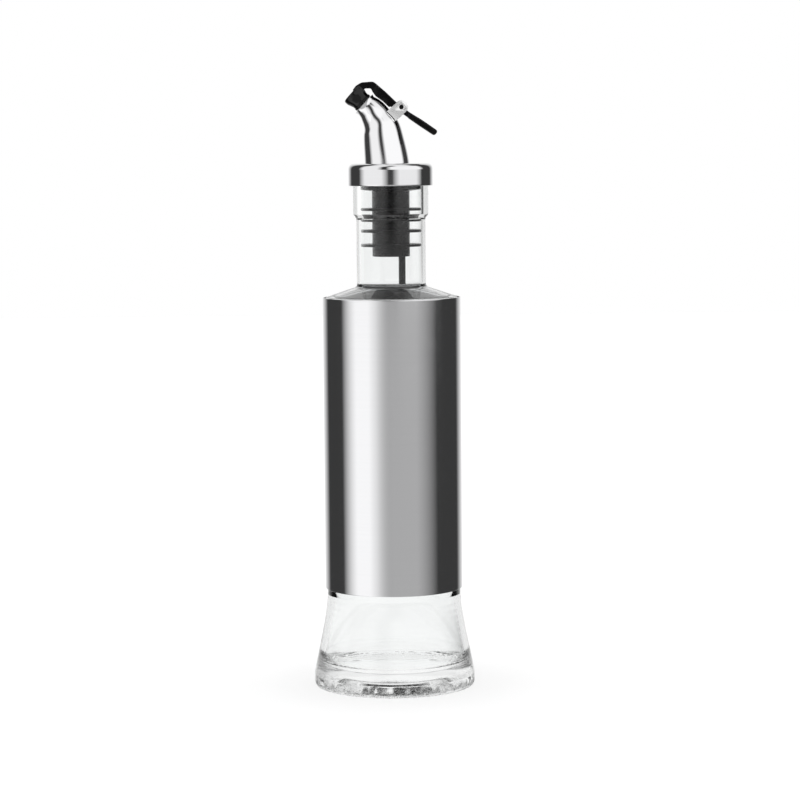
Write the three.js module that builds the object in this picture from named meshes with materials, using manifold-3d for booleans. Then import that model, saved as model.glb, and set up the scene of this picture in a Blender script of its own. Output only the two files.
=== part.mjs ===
// A half-litre kitchen oil bottle: a glass bottle in a steel sleeve, with a steel pourer on a finned stopper.
// Millimetres, +Z up. The origin is the centre of the base. The spout points to -X.

import * as THREE from 'three';
import { mergeVertices } from 'three/addons/utils/BufferGeometryUtils.js';
import Module from 'manifold-3d';

const wasm = await Module();
wasm.setup();

// Running gap between pieces that touch or turn in each other, and how finely round shapes are cut.
const gap = 0.3;
const bottleSegments = 48;
const pourerSegments = 32;
const cornerSteps = 3;

// Glass bottle, from the base up.
const baseRadius = 37.5;
const heelRadius = 5;
const bearingWidth = 2.5;
const puntHeight = 4;
const floorThickness = 5.5;
const flareHeight = 46;
const bodyRadius = 31;
const bodyWall = 2.5;
const shoulderPitch = 18.4;
const neckRadius = 16;
const neckWall = 1.7;
const neckLength = 32.3;
const beadRadius = 17.4;
const finishHeight = 18.7;

// Steel sleeve around the body, held by two bands of tape.
const sleeveLength = 135.8;
const sleeveThickness = 0.5;
const tapeThickness = 0.3;
const tapeWidth = 12;
const tapeInset = 6;
const tapeGap = 0.1;

// Stopper: a finned silicone plug over a rigid core. Depths are measured down from the glass rim.
const lipThickness = 1.4;
const cupWall = 1;
const cupDepth = 6;
const stemRadius = 8.7;
const stemWall = 0.8;
const stopperDepth = 37.1;
const finDepths = [15.3, 20.3, 25.3, 31.9];
const finThickness = 1.2;
const passageRadius = 4.2;
const passageOffset = -2;
const ventOffset = 5;
const ventRadius = 1.6;
const ventWall = 0.7;
const ventLength = 55.5;
const ventReach = 50.2;

// Collar and spout. The spout's stations are [x, height above its foot, outer radius] along its bend.
const collarRadius = 19.5;
const collarHeight = 10.3;
const collarSheet = 0.8;
const collarCorner = 3.5;
const spoutWall = 0.8;
const footRadius = 11.9;
const footThickness = 1.4;
const gasketWidth = 1.4;
const gasketThickness = 1;
const lipFlare = 0.9;
const lipLength = 1.3;
const spoutStations = [
  [-1.6, 0, 10.4], [-1.6, 2.5, 10.3], [-2.8, 12, 9.5], [-4, 19, 8.5],
  [-6, 23.3, 7.1], [-8.4, 26.8, 6.3], [-11.9, 30, 5],
];

// Lever, its bracket and its pin. The pivot is [x, height above the spout's foot].
const pivot = [5.3, 28.4];
const pinRadius = 1.1;
const pinProud = 0.5;
const leverWidth = 6.8;
const tailWidth = 8.6;
const bossRadius = 2.4;
const earThickness = 0.8;
const earRadius = 3;
const earAngle = 42;
const earReach = 8.5;
const webDistance = 4.1;
const springWidth = 3.4;
const springRoom = 2.75;
const wireRadius = 0.3;
const coilRadius = 1.8;
const coilTurns = 2.75;
const shortLeg = 1.4;
const sealRadius = 4.7;
const sealThickness = 1.1;
const hoodStem = 3.7;
const hoodRadius = 5.4;
const hoodHeight = 6;

// Sizes that follow from the ones above.
const sleeveInner = bodyRadius + tapeThickness + 2 * tapeGap;
const sleeveBottom = flareHeight + gap;
const sleeveTop = sleeveBottom + sleeveLength;
const neckFoot = sleeveTop + (bodyRadius - neckRadius) * Math.tan(THREE.MathUtils.degToRad(shoulderPitch));
const beadFoot = neckFoot + neckLength;
const rimHeight = beadFoot + finishHeight;
const boreRadius = neckRadius - neckWall;
const plugRadius = boreRadius - gap;
const cupInner = plugRadius - cupWall;
const lipTop = gap + lipThickness;
const coreTop = lipTop;
const footBottom = coreTop + gasketThickness + 2 * gap;
const collarTop = footThickness + gap + collarSheet;
const collarInner = collarRadius - collarSheet;
const earInner = leverWidth / 2 + 2 * gap;
const earOuter = earInner + earThickness;
const lean = -THREE.MathUtils.degToRad(earAngle);

const glass = { color: 0xf2f6f5, roughness: 0.05, metalness: 0 };
const satinSteel = { color: 0xb9babb, roughness: 0.35, metalness: 1 };
const brightSteel = { color: 0xd6d7d8, roughness: 0.12, metalness: 1 };
const blackPlastic = { color: 0x0d0d0e, roughness: 0.25, metalness: 0 };
const blackSilicone = { color: 0x141415, roughness: 0.6, metalness: 0 };
const clearTape = { color: 0xe8e6dc, roughness: 0.5, metalness: 0 };

// Merges the vertices that faces share, and drops the triangles that an axis has closed up.
function welded(geometry) {
  geometry.deleteAttribute('normal');
  geometry.deleteAttribute('uv');
  const merged = mergeVertices(geometry);
  const corners = merged.index.array;
  const kept = [];
  for (let i = 0; i < corners.length; i += 3) {
    const [a, b, c] = corners.slice(i, i + 3);
    if (a !== b && b !== c && c !== a) kept.push(a, b, c);
  }
  merged.setIndex(kept);
  return merged;
}

// Turns corners [x, y, radius] into points, with a curve at each corner that has a radius.
function roundedOutline(corners, steps = cornerSteps) {
  const place = ([x, y]) => new THREE.Vector2(x, y);
  return corners.flatMap((entry, i) => {
    const corner = place(entry);
    const radius = entry[2] ?? 0;
    if (radius === 0) return [corner];
    const before = place(corners.at(i - 1)).sub(corner);
    const after = place(corners[(i + 1) % corners.length]).sub(corner);
    const halfAngle = Math.acos(before.dot(after) / before.length() / after.length()) / 2;
    const setback = Math.min(radius / Math.tan(halfAngle), 0.48 * before.length(), 0.48 * after.length());
    const start = corner.clone().add(before.setLength(setback));
    const end = corner.clone().add(after.setLength(setback));
    return new THREE.QuadraticBezierCurve(start, corner, end).getPoints(steps);
  });
}

// Spins a profile of (radius, height) points about +Z. Off the axis, the profile closes on itself.
function spun(profile, segments) {
  const loop = profile[0].x === 0 ? profile : [...profile, profile[0]];
  return welded(new THREE.LatheGeometry(loop, segments).rotateX(Math.PI / 2));
}

// A plain ring or disc between two heights.
function ring(innerRadius, outerRadius, bottom, top, segments) {
  const corners = [[innerRadius, bottom], [outerRadius, bottom], [outerRadius, top], [innerRadius, top]];
  return spun(roundedOutline(corners), segments);
}

// An outline in the XZ plane, given a width along Y.
function slab(outline, width) {
  const geometry = new THREE.ExtrudeGeometry(new THREE.Shape(outline), { depth: width, bevelEnabled: false });
  return welded(geometry.rotateX(Math.PI / 2).translate(0, width / 2, 0));
}

// A round bar along Y, through the point (x, z).
function crossBar(radius, width, x = 0, z = 0) {
  return welded(new THREE.CylinderGeometry(radius, radius, width, pourerSegments).translate(x, 0, z));
}

function toSolid(geometry) {
  const vertProperties = new Float32Array(geometry.attributes.position.array);
  const triVerts = new Uint32Array(geometry.index.array);
  return new wasm.Manifold(new wasm.Mesh({ numProp: 3, vertProperties, triVerts }));
}

function toGeometry(solid) {
  const mesh = solid.getMesh();
  const geometry = new THREE.BufferGeometry();
  geometry.setAttribute('position', new THREE.BufferAttribute(mesh.vertProperties, 3));
  geometry.setIndex(new THREE.BufferAttribute(mesh.triVerts, 1));
  return geometry;
}

function cut(body, ...tools) {
  return toGeometry(tools.reduce((solid, tool) => solid.subtract(toSolid(tool)), toSolid(body)));
}

function join(body, ...others) {
  return toGeometry(others.reduce((solid, other) => solid.add(toSolid(other)), toSolid(body)));
}

function piece(name, geometry, finish) {
  const mesh = new THREE.Mesh(geometry, new THREE.MeshStandardMaterial(finish));
  mesh.name = name;
  return mesh;
}

// The bottle's wall: the outside from the bearing ring up to the rim, then the inside back down.
function glassBottle() {
  const bearingOuter = baseRadius - heelRadius;
  const bearingInner = bearingOuter - bearingWidth;
  const flareTop = new THREE.Vector2(bodyRadius, flareHeight);
  const flareFoot = new THREE.Vector2(baseRadius, heelRadius + 1);
  const flareRise = flareTop.y - flareFoot.y;
  const flareSpread = flareFoot.x - flareTop.x;
  const flare = (inset, steps) => new THREE.CubicBezierCurve(
    new THREE.Vector2(flareFoot.x - inset, flareFoot.y),
    new THREE.Vector2(flareFoot.x - inset - 0.3 * flareSpread, flareFoot.y + 0.3 * flareRise),
    new THREE.Vector2(flareTop.x - inset + 0.05 * flareSpread, flareTop.y - 0.35 * flareRise),
    new THREE.Vector2(flareTop.x - inset, flareTop.y),
  ).getPoints(steps);
  const floorTop = puntHeight + floorThickness;
  const innerBody = bodyRadius - bodyWall;
  const innerDrop = bodyWall / Math.cos(THREE.MathUtils.degToRad(shoulderPitch));
  const outside = roundedOutline([
    [0, puntHeight], [bearingInner / 2, puntHeight - 0.5], [bearingInner, 0], [bearingOuter, 0],
    [baseRadius, 0, heelRadius], [baseRadius, heelRadius + 1],
  ]).slice(0, -1);
  const shoulder = roundedOutline([
    [bodyRadius, flareHeight], [bodyRadius, sleeveTop, 2], [neckRadius, neckFoot, 1.5],
    [neckRadius, beadFoot], [beadRadius, beadFoot + 0.8], [beadRadius, rimHeight, 1.2],
    [boreRadius, rimHeight, 0.5], [boreRadius, neckFoot - innerDrop + 1, 1.5],
    [innerBody, sleeveTop - innerDrop, 3], [innerBody, flareHeight],
  ], 2).slice(1);
  const inside = flare(bodyWall + 0.5, 5).reverse().slice(1, -1);
  const floor = roundedOutline([
    [innerBody, flareHeight], [baseRadius - bodyWall - 1.5, floorTop, 6], [0, floorTop + 0.6],
  ]).slice(1);
  return spun([...outside, ...flare(0, 6), ...shoulder, ...inside.filter(({ y }) => y > floorTop + 5), ...floor],
    bottleSegments);
}

function steelSleeve() {
  return ring(sleeveInner, sleeveInner + sleeveThickness, sleeveBottom, sleeveTop, bottleSegments);
}

function tapeBand(bottom) {
  const innerRadius = bodyRadius + tapeGap;
  return ring(innerRadius, innerRadius + tapeThickness, bottom, bottom + tapeWidth, bottleSegments);
}

// The silicone plug: a lip over the rim, a cup for the core's head, and a finned stem.
function finnedPlug() {
  const stemInner = stemRadius - stemWall;
  const fins = finDepths.toReversed().flatMap((depth) => [
    [stemRadius, -depth - finThickness], [plugRadius, -depth - finThickness / 2],
    [plugRadius, -depth + finThickness / 2], [stemRadius, -depth + finThickness],
  ]);
  return spun(roundedOutline([
    [stemInner, -stopperDepth], [stemRadius, -stopperDepth], ...fins,
    [stemRadius, -cupDepth - cupWall], [plugRadius, -cupDepth],
    [plugRadius, gap], [beadRadius, gap], [beadRadius, lipTop], [cupInner, lipTop],
    [cupInner, cupWall - cupDepth], [stemInner, cupWall - cupDepth],
  ]), pourerSegments);
}

// The rigid core that the plug sits on, with the oil passage and the vent's hole through it.
function stopperCore() {
  const headBottom = cupWall - cupDepth + gap;
  const stem = stemRadius - stemWall - gap;
  const bottom = 0.5 - stopperDepth;
  const body = spun(roundedOutline([
    [0, bottom], [stem, bottom, 0.5], [stem, headBottom], [cupInner - gap, headBottom],
    [cupInner - gap, coreTop, 0.5], [0, coreTop],
  ]), pourerSegments);
  const hole = (radius, x) => ring(0, radius, bottom - 1, coreTop + 1, pourerSegments / 2).translate(x, 0, 0);
  return cut(body, hole(passageRadius, passageOffset), hole(ventRadius + gap, ventOffset));
}

function ventTube() {
  const tube = ring(ventRadius - ventWall, ventRadius, -ventReach, ventLength - ventReach, pourerSegments / 2);
  return tube.translate(ventOffset, 0, 0);
}

const spoutCurve = new THREE.CatmullRomCurve3(spoutStations.map((station) => new THREE.Vector3(...station)));
const spoutLength = spoutCurve.getLength();

// Where the spout's bend is, how wide it is there and which way it runs, a share of the way along it.
function spoutPlace(share) {
  const { x, y, z } = spoutCurve.getPointAt(share);
  const tangent = spoutCurve.getTangentAt(share);
  const along = new THREE.Vector2(tangent.x, tangent.y).normalize();
  return { x, height: y, radius: z, along };
}

// Bends a spun shape, whose heights are shares of the spout's length, along the spout.
function bentAlongSpout(profile, segments) {
  const geometry = spun(profile, segments);
  const position = geometry.attributes.position;
  for (let i = 0; i < position.count; i += 1) {
    const { x, height, along } = spoutPlace(THREE.MathUtils.clamp(position.getZ(i), 0, 1));
    const sideways = position.getX(i);
    position.setX(i, x + sideways * along.y);
    position.setZ(i, height - sideways * along.x);
  }
  return geometry;
}

// The horn's wall between two radii offsets, open at both ends, with a foot flange and a flared lip.
function spoutHorn() {
  const steps = 16;
  const lipShare = 1 - lipLength / spoutLength;
  const footShare = footThickness / spoutLength;
  const shares = Array.from({ length: steps + 1 }, (_, i) => footShare + (lipShare - footShare) * i / steps);
  const wall = (offset) => shares.map((share) => new THREE.Vector2(spoutPlace(share).radius - offset, share));
  const mouth = spoutPlace(1).radius;
  return bentAlongSpout([
    new THREE.Vector2(spoutPlace(0).radius - spoutWall, 0), new THREE.Vector2(footRadius, 0),
    new THREE.Vector2(footRadius, footShare), ...wall(0),
    new THREE.Vector2(mouth + lipFlare, 1), new THREE.Vector2(mouth - spoutWall + lipFlare / 2, 1),
    ...wall(spoutWall).reverse(),
  ], pourerSegments);
}

// A solid horn a gap wider than the spout, for cutting what is fitted to it.
function spoutTool() {
  const steps = 16;
  const shares = Array.from({ length: steps + 1 }, (_, i) => i / steps);
  const side = shares.map((share) => new THREE.Vector2(spoutPlace(share).radius + gap, share));
  return bentAlongSpout([new THREE.Vector2(0, 0), ...side, new THREE.Vector2(0, 1)], pourerSegments);
}

function spoutGasket() {
  const inner = spoutStations[0][2] - spoutWall;
  const flat = ring(inner, inner + gasketWidth, -gap - gasketThickness, -gap, pourerSegments);
  return flat.translate(spoutStations[0][0], 0, 0);
}

// The collar: a cap with a rounded top edge, and a hole that the spout comes up through.
function collarCap() {
  const bottom = collarTop - collarHeight;
  const cap = spun(roundedOutline([
    [0, collarTop - collarSheet], [collarInner, collarTop - collarSheet, collarCorner - collarSheet],
    [collarInner, bottom], [collarRadius, bottom, 0.3], [collarRadius, collarTop, collarCorner],
    [0, collarTop],
  ]), pourerSegments);
  return cut(cap, spoutTool());
}

// The yoke behind the spout: two ears around the lever, and a web against the spout.
function leverBracket() {
  const width = 2 * earOuter;
  const strip = roundedOutline([
    [earRadius, earRadius, earRadius], [earRadius, -earRadius, earRadius],
    [-earReach, -earRadius], [-earReach, earRadius],
  ], 6);
  const room = roundedOutline([
    [-webDistance, -2 * earRadius], [2 * earRadius, -2 * earRadius], [2 * earRadius, 2 * earRadius],
    [-webDistance, 2 * earRadius],
  ]);
  const yoke = cut(slab(strip, width), slab(room, 2 * earInner)).rotateY(lean);
  return cut(yoke, spoutTool().translate(-pivot[0], 0, -pivot[1]), crossBar(pinRadius + gap, 2 * width));
}

function hingePin() {
  const half = earOuter + pinProud;
  const profile = roundedOutline([[0, -half], [pinRadius, -half, 0.3], [pinRadius, half, 0.3], [0, half]]);
  return welded(new THREE.LatheGeometry(profile, pourerSegments / 2));
}

// A torsion spring on the pin: one leg bears on the lever, the other on the bracket's web.
function leverSpring() {
  const points = [];
  const stepsPerTurn = 16;
  const steps = coilTurns * stepsPerTurn;
  const coilWidth = springWidth - 2 * gap - 4 * wireRadius;
  for (let i = 0; i <= steps; i += 1) {
    const angle = Math.PI + 2 * Math.PI * i / stepsPerTurn;
    const across = coilWidth * (i / steps - 0.5);
    points.push(new THREE.Vector3(coilRadius * Math.cos(angle), across, coilRadius * Math.sin(angle)));
  }
  const first = points[0];
  const last = points.at(-1);
  points.unshift(new THREE.Vector3(first.x, first.y, first.z + shortLeg));
  points.push(new THREE.Vector3(last.x - webDistance + 2 * wireRadius, last.y, last.z));
  const wire = new THREE.Shape().absarc(0, 0, wireRadius, 0, 2 * Math.PI);
  const path = new THREE.CatmullRomCurve3(points, false, 'catmullrom', 0.5);
  const settings = { steps: 2 * steps, curveSegments: 3, bevelEnabled: false, extrudePath: path };
  return welded(new THREE.ExtrudeGeometry(wire, settings)).rotateY(lean);
}

// The lever: an arch from the hood to the pivot, a thumb tail, and the round hood over the mouth.
function lever() {
  const arch = roundedOutline([
    [-22.4, 8, 0.6], [-20.9, 9.9, 1.5], [-18.4, 11.4, 3], [-12.8, 11.8, 3], [-7.1, 6.9, 6],
    [-2.3, 2.2, 6], [4.6, -3.1], [3.5, -5.3], [0.6, -3.2, 2], [-3.1, -1.2, 1], [-4.6, 0.2, 0.8],
    [-5.6, 0.2, 0.5], [-7.3, 2, 3], [-8.5, 3.2, 3], [-11.6, 5.5, 1], [-13.2, 7.6, 0.8], [-14, 8.6, 0.8],
    [-17.2, 8.6, 1.2], [-17.6, 5.6], [-20.5, 3.8],
  ]);
  const tail = roundedOutline([
    [3.8, -2.5], [9.6, -6.1, 12], [16.9, -11.2, 1.3], [15.1, -13.4, 1.3], [8.2, -8.8, 12], [3.1, -5.2],
  ]);
  const mouth = spoutPlace(1);
  const hoodFoot = 2 * gap + sealThickness;
  const hood = spun(roundedOutline([
    [0, hoodFoot], [hoodStem, hoodFoot], [hoodStem, hoodFoot + 1, 1], [hoodRadius, hoodFoot + 3.6, 0.5],
    [hoodRadius, hoodFoot + hoodHeight, 1.8], [0, hoodFoot + hoodHeight],
  ]), pourerSegments);
  hood.rotateY(Math.atan2(mouth.along.x, mouth.along.y));
  hood.translate(mouth.x - pivot[0], 0, mouth.height - pivot[1]);
  const solid = join(slab(arch, leverWidth), slab(tail, tailWidth), hood,
    crossBar(bossRadius, leverWidth));
  const springSlot = slab(roundedOutline([
    [0, springRoom], [springRoom, springRoom, springRoom], [springRoom, -springRoom, springRoom],
    [-2 * springRoom, -springRoom], [-2 * springRoom, springRoom],
  ], 6), springWidth).rotateY(lean);
  return cut(solid, springSlot, crossBar(pinRadius + gap, 2 * leverWidth));
}

function mouthSeal() {
  const mouth = spoutPlace(1);
  const disc = ring(0, sealRadius, gap, gap + sealThickness, pourerSegments);
  disc.rotateY(Math.atan2(mouth.along.x, mouth.along.y));
  return disc.translate(mouth.x - pivot[0], 0, mouth.height - pivot[1]);
}

// The head's heights start at the spout's foot, and the hinge's at the pivot.
const hinge = new THREE.Group();
hinge.position.set(pivot[0], 0, pivot[1]);
hinge.add(
  piece('lever_bracket', leverBracket(), brightSteel),
  piece('hinge_pin', hingePin(), blackPlastic),
  piece('lever_spring', leverSpring(), satinSteel),
  piece('lever', lever(), blackPlastic),
  piece('mouth_seal', mouthSeal(), blackSilicone),
);

const head = new THREE.Group();
head.position.z = footBottom;
head.add(
  piece('spout_gasket', spoutGasket(), blackSilicone),
  piece('spout', spoutHorn(), brightSteel),
  piece('collar', collarCap(), satinSteel),
  hinge,
);

// The pourer's heights start at the glass rim.
const pourer = new THREE.Group();
pourer.position.z = rimHeight;
pourer.add(
  piece('stopper_plug', finnedPlug(), blackSilicone),
  piece('stopper_core', stopperCore(), blackPlastic),
  piece('vent_tube', ventTube(), blackPlastic),
  head,
);

const oilBottle = new THREE.Group();
oilBottle.add(
  piece('glass_bottle', glassBottle(), glass),
  piece('steel_sleeve', steelSleeve(), satinSteel),
  piece('tape_lower', tapeBand(sleeveBottom + tapeInset), clearTape),
  piece('tape_upper', tapeBand(sleeveTop - tapeInset - tapeWidth), clearTape),
  pourer,
);

export default oilBottle;
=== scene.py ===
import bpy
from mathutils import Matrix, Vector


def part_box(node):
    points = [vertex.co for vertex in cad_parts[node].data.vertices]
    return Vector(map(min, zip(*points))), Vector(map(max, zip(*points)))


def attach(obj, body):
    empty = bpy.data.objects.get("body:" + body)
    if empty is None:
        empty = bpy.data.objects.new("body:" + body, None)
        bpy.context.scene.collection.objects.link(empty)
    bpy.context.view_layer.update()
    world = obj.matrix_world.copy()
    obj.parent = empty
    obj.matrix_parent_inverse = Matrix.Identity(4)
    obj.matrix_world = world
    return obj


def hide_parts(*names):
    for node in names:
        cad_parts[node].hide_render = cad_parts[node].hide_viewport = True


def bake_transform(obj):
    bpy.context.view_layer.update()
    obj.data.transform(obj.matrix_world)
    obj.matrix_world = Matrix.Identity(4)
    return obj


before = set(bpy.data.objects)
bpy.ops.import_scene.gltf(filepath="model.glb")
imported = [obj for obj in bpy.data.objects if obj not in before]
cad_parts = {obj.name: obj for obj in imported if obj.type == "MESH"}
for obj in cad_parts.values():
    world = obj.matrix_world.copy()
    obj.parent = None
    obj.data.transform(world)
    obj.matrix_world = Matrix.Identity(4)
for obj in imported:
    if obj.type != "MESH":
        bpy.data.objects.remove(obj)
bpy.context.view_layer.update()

import math
import random

import bmesh
import bpy
from mathutils import Matrix, Vector

# Oil bottle with a lever pourer. Metres, +Z up, spout towards -X. The dictionaries hold millimetres.
mm = 0.001
smallSegments = 96  # steps round a small round piece
scene = bpy.context.scene


def roundCorners(corners, steps=6):
    # corners are (x, y) or (x, y, radius); a corner with a radius becomes a short curve
    points = []
    count = len(corners)
    for i, corner in enumerate(corners):
        place = Vector(corner[:2])
        radius = corner[2] if len(corner) > 2 else 0
        if radius == 0:
            points.append(place)
            continue
        before = Vector(corners[i - 1][:2]) - place
        after = Vector(corners[(i + 1) % count][:2]) - place
        halfAngle = before.angle(after) / 2
        setback = min(radius / math.tan(halfAngle), 0.48 * before.length, 0.48 * after.length)
        start = place + before.normalized() * setback
        end = place + after.normalized() * setback
        for step in range(steps + 1):
            t = step / steps
            points.append(start * (1 - t) ** 2 + place * 2 * t * (1 - t) + end * t * t)
    return points


def finishMesh(name, mesh, material, smoothAngle=35):
    # merges doubles, points the faces outward and sets smooth shading with sharp edges
    bmesh.ops.remove_doubles(mesh, verts=mesh.verts, dist=1e-7)
    bmesh.ops.recalc_face_normals(mesh, faces=mesh.faces)
    data = bpy.data.meshes.new(name)
    mesh.to_mesh(data)
    mesh.free()
    data.shade_smooth()
    data.set_sharp_from_angle(angle=math.radians(smoothAngle))
    data.materials.append(material)
    piece = bpy.data.objects.new(name, data)
    scene.collection.objects.link(piece)
    return piece


def loftRings(name, rings, segments, material, closed=True, smoothAngle=35):
    # rings are (centreX, centreZ, radius, lean) in millimetres; a radius of 0 is a pole
    mesh = bmesh.new()
    loops = []
    for centreX, centreZ, radius, lean in rings:
        if radius == 0:
            loops.append([mesh.verts.new((centreX * mm, 0, centreZ * mm))] * segments)
            continue
        loop = []
        for i in range(segments):
            angle = 2 * math.pi * i / segments
            across = radius * math.cos(angle)
            x = centreX + across * math.cos(lean)
            z = centreZ - across * math.sin(lean)
            loop.append(mesh.verts.new((x * mm, radius * math.sin(angle) * mm, z * mm)))
        loops.append(loop)
    pairs = list(zip(loops, loops[1:]))
    if closed:
        pairs.append((loops[-1], loops[0]))
    for lower, upper in pairs:
        for i in range(segments):
            j = (i + 1) % segments
            corners = list(dict.fromkeys([lower[i], lower[j], upper[j], upper[i]]))
            if len(corners) > 2:
                mesh.faces.new(corners)
    return finishMesh(name, mesh, material, smoothAngle)


def supportEnds(profile, closed=True, longest=2, inset=0.25):
    # extra points near the ends of long straight runs, so that rounded edges don't shade the flat walls
    points = [Vector(point) for point in profile]
    supported = []
    for i, point in enumerate(points):
        supported.append(point)
        if i == len(points) - 1 and not closed:
            break
        run = points[(i + 1) % len(points)] - point
        if run.length > longest:
            supported += [point + run.normalized() * inset, point + run - run.normalized() * inset]
    return supported


def spin(name, profile, segments, material, centreX=0, closed=True, smoothAngle=35):
    # profile is (radius, height) points in millimetres
    profile = supportEnds(profile, closed)
    return loftRings(name, [(centreX, z, r, 0) for r, z in profile], segments, material, closed, smoothAngle)


def slab(outline, width, name="slab"):
    # a flat outline in the XZ plane, given a width along Y, both in millimetres
    mesh = bmesh.new()
    front = [mesh.verts.new((x * mm, -width / 2 * mm, z * mm)) for x, z in outline]
    back = [mesh.verts.new((x * mm, width / 2 * mm, z * mm)) for x, z in outline]
    mesh.faces.new(front)
    mesh.faces.new(list(reversed(back)))
    for i in range(len(outline)):
        j = (i + 1) % len(outline)
        mesh.faces.new([front[j], front[i], back[i], back[j]])
    return finishMesh(name, mesh, plainMaterial(), 30)


def crossBar(radius, width, centre, name="bar", segments=48):
    # a round bar along Y through centre (x, z), in millimetres
    outline = []
    for i in range(segments):
        angle = 2 * math.pi * i / segments
        outline.append((centre[0] + radius * math.cos(angle), centre[1] + radius * math.sin(angle)))
    return slab(outline, width, name)


def settle(piece, material, name=None, smoothAngle=35):
    # one material, smooth shading with sharp edges, and outward faces
    if name:
        piece.name = name
    mesh = bmesh.new()
    mesh.from_mesh(piece.data)
    bmesh.ops.remove_doubles(mesh, verts=mesh.verts, dist=1e-7)
    bmesh.ops.recalc_face_normals(mesh, faces=mesh.faces)
    for face in mesh.faces:
        face.material_index = 0
    mesh.to_mesh(piece.data)
    mesh.free()
    piece.data.materials.clear()
    piece.data.materials.append(material)
    piece.data.shade_smooth()
    piece.data.set_sharp_from_angle(angle=math.radians(smoothAngle))


def newShapeTree(name, numbers):
    # a Geometry Nodes tree with named sizes; returns the inputs' identifiers too
    tree = bpy.data.node_groups.new(name, "GeometryNodeTree")
    tree.interface.new_socket("Geometry", in_out="INPUT", socket_type="NodeSocketGeometry")
    sockets = {}
    for key in numbers:
        socket = tree.interface.new_socket(key, in_out="INPUT", socket_type="NodeSocketFloat")
        sockets[key] = socket.identifier
    tree.interface.new_socket("Geometry", in_out="OUTPUT", socket_type="NodeSocketGeometry")
    return tree, tree.nodes.new("NodeGroupInput"), tree.nodes.new("NodeGroupOutput"), sockets


def closeShapeTree(tree, shape, result, material):
    realize = addNode(tree, "GeometryNodeRealizeInstances")
    finish = addNode(tree, "GeometryNodeSetMaterial", {"Material": material})
    tree.links.new(shape, realize.inputs[0])
    tree.links.new(realize.outputs[0], finish.inputs["Geometry"])
    tree.links.new(finish.outputs[0], result.inputs["Geometry"])


def runShapeTree(piece, tree, sockets, values):
    modifier = piece.modifiers.new(tree.name, "NODES")
    modifier.node_group = tree
    for key, value in values.items():
        modifier[sockets[key]] = value
    bakeModifiers(piece)


def boolean(piece, tools, operation):
    # joins or cuts, then removes the tools
    for tool in tools:
        modifier = piece.modifiers.new("boolean", "BOOLEAN")
        modifier.operation = operation
        modifier.solver = "EXACT"
        modifier.object = tool
    bakeModifiers(piece)
    for tool in tools:
        bpy.data.objects.remove(tool)


def bakeModifiers(piece):
    # the evaluated shape becomes the piece's own plain mesh
    depsgraph = bpy.context.evaluated_depsgraph_get()
    baked = bpy.data.meshes.new_from_object(piece.evaluated_get(depsgraph))
    old = piece.data
    piece.modifiers.clear()
    piece.data = baked
    bpy.data.meshes.remove(old)


def plainMaterial():
    return bpy.data.materials.get("plain") or bpy.data.materials.new("plain")


def addNode(tree, kind, values=None, **settings):
    node = tree.nodes.new(kind)
    for key, value in settings.items():
        setattr(node, key, value)
    for key, value in (values or {}).items():
        node.inputs[key].default_value = value
    return node


def mathNode(tree, operation, first, second=None, clamp=False):
    node = addNode(tree, "ShaderNodeMath", operation=operation, use_clamp=clamp)
    for socket, value in zip(node.inputs, (first, second)):
        if value is None:
            continue
        if isinstance(value, (int, float)):
            socket.default_value = value
        else:
            tree.links.new(value, socket)
    return node.outputs[0]


def rampNode(tree, factor, stops, interpolation="LINEAR"):
    node = addNode(tree, "ShaderNodeValToRGB")
    node.color_ramp.interpolation = interpolation
    elements = node.color_ramp.elements
    while len(elements) < len(stops):
        elements.new(0.5)
    for element, (position, value) in zip(elements, stops):
        element.position = position
        element.color = (value, value, value, 1)
    tree.links.new(factor, node.inputs[0])
    return node.outputs[0]


def newGroup(name, inputs, outputs):
    # inputs are {name: default}, outputs are names; all are plain numbers
    group = bpy.data.node_groups.new(name, "ShaderNodeTree")
    for key, value in inputs.items():
        socket = group.interface.new_socket(key, in_out="INPUT", socket_type="NodeSocketFloat")
        socket.default_value = value
    for key in outputs:
        group.interface.new_socket(key, in_out="OUTPUT", socket_type="NodeSocketFloat")
    return group, group.nodes.new("NodeGroupInput"), group.nodes.new("NodeGroupOutput")


def handlingMarksGroup():
    # finger marks and dulling from wiping: a broad cloudy mask
    group, given, result = newGroup("handlingMarks", {"Size": 60, "Amount": 0.5}, ["Mask"])
    place = addNode(group, "ShaderNodeTexCoord")
    cloud = addNode(group, "ShaderNodeTexNoise", {"Detail": 4, "Roughness": 0.6, "Distortion": 0.8})
    group.links.new(place.outputs["Object"], cloud.inputs["Vector"])
    group.links.new(given.outputs["Size"], cloud.inputs["Scale"])
    spread = rampNode(group, cloud.outputs["Fac"], [(0.42, 0), (0.68, 1)], "EASE")
    group.links.new(mathNode(group, "MULTIPLY", spread, given.outputs["Amount"]), result.inputs["Mask"])
    return group


def brushLinesGroup():
    # fine lines that run around the piece, as a polishing belt leaves them
    group, given, result = newGroup("brushLines", {"Fineness": 900, "Reach": 6}, ["Height"])
    place = addNode(group, "ShaderNodeTexCoord")
    split = addNode(group, "ShaderNodeSeparateXYZ")
    group.links.new(place.outputs["Object"], split.inputs[0])
    joined = addNode(group, "ShaderNodeCombineXYZ")
    for axis in ("X", "Y"):
        scaled = mathNode(group, "MULTIPLY", split.outputs[axis], given.outputs["Reach"])
        group.links.new(scaled, joined.inputs[axis])
    fine = mathNode(group, "MULTIPLY", split.outputs["Z"], given.outputs["Fineness"])
    group.links.new(fine, joined.inputs["Z"])
    lines = addNode(group, "ShaderNodeTexNoise", {"Scale": 1, "Detail": 3, "Roughness": 0.7})
    group.links.new(joined.outputs[0], lines.inputs["Vector"])
    group.links.new(lines.outputs["Fac"], result.inputs["Height"])
    return group


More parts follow.
